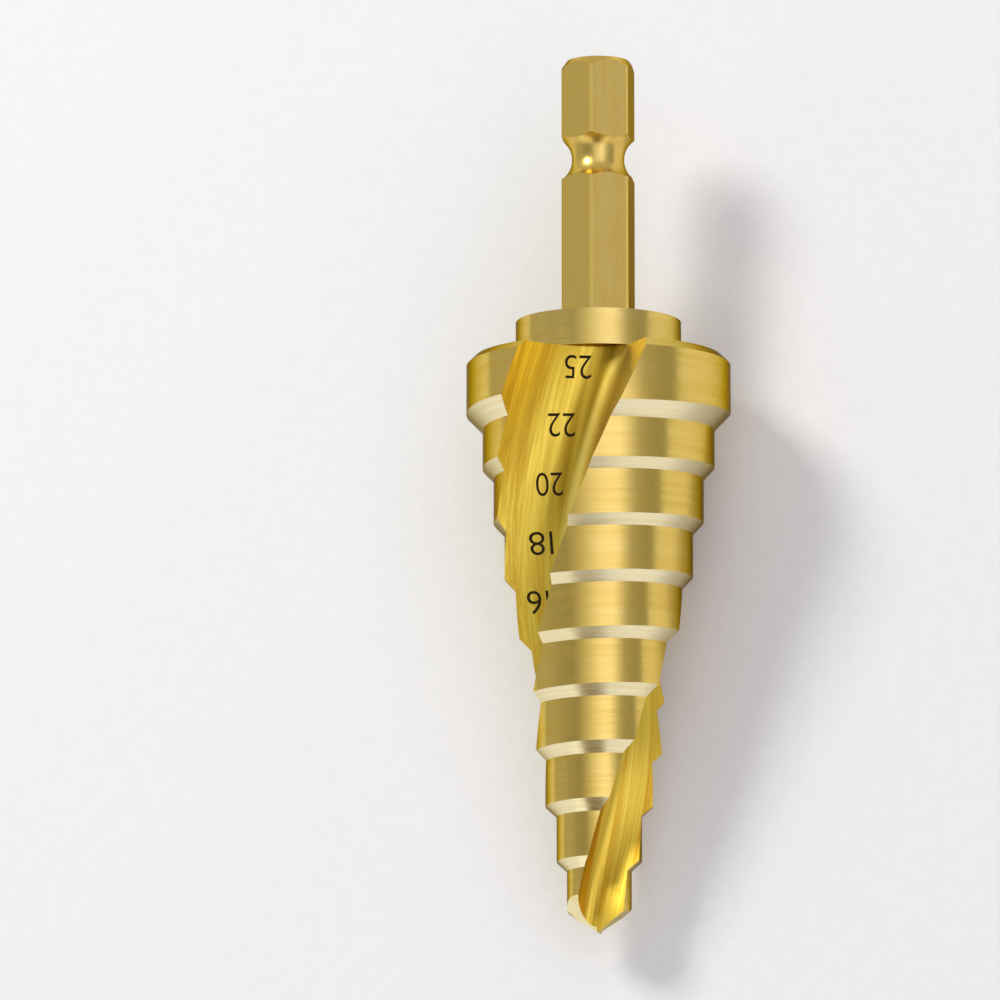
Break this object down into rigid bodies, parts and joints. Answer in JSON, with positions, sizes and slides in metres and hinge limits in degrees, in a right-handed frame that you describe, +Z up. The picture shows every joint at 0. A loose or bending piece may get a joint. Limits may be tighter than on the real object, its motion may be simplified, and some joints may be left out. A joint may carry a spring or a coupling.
{
  "type": "step drill",
  "caption": "Two-flute spiral step drill with a split point, a collar and a hexagonal quick-change shank, coated in gold titanium nitride.",
  "frame": {"origin": "on the table under the centre of the drill's bounding box, where the drill lies at rest", "axes": "+Z up from the table, +Y along the drill from its point to its shank, +X to the right of that"},
  "size_m": [0.0248, 0.0824, 0.0233],
  "materials": {
    "coated_steel": "satin"
  },
  "bodies": {
    "root": {"step_drill": "coated_steel"}
  },
  "joints": []
}
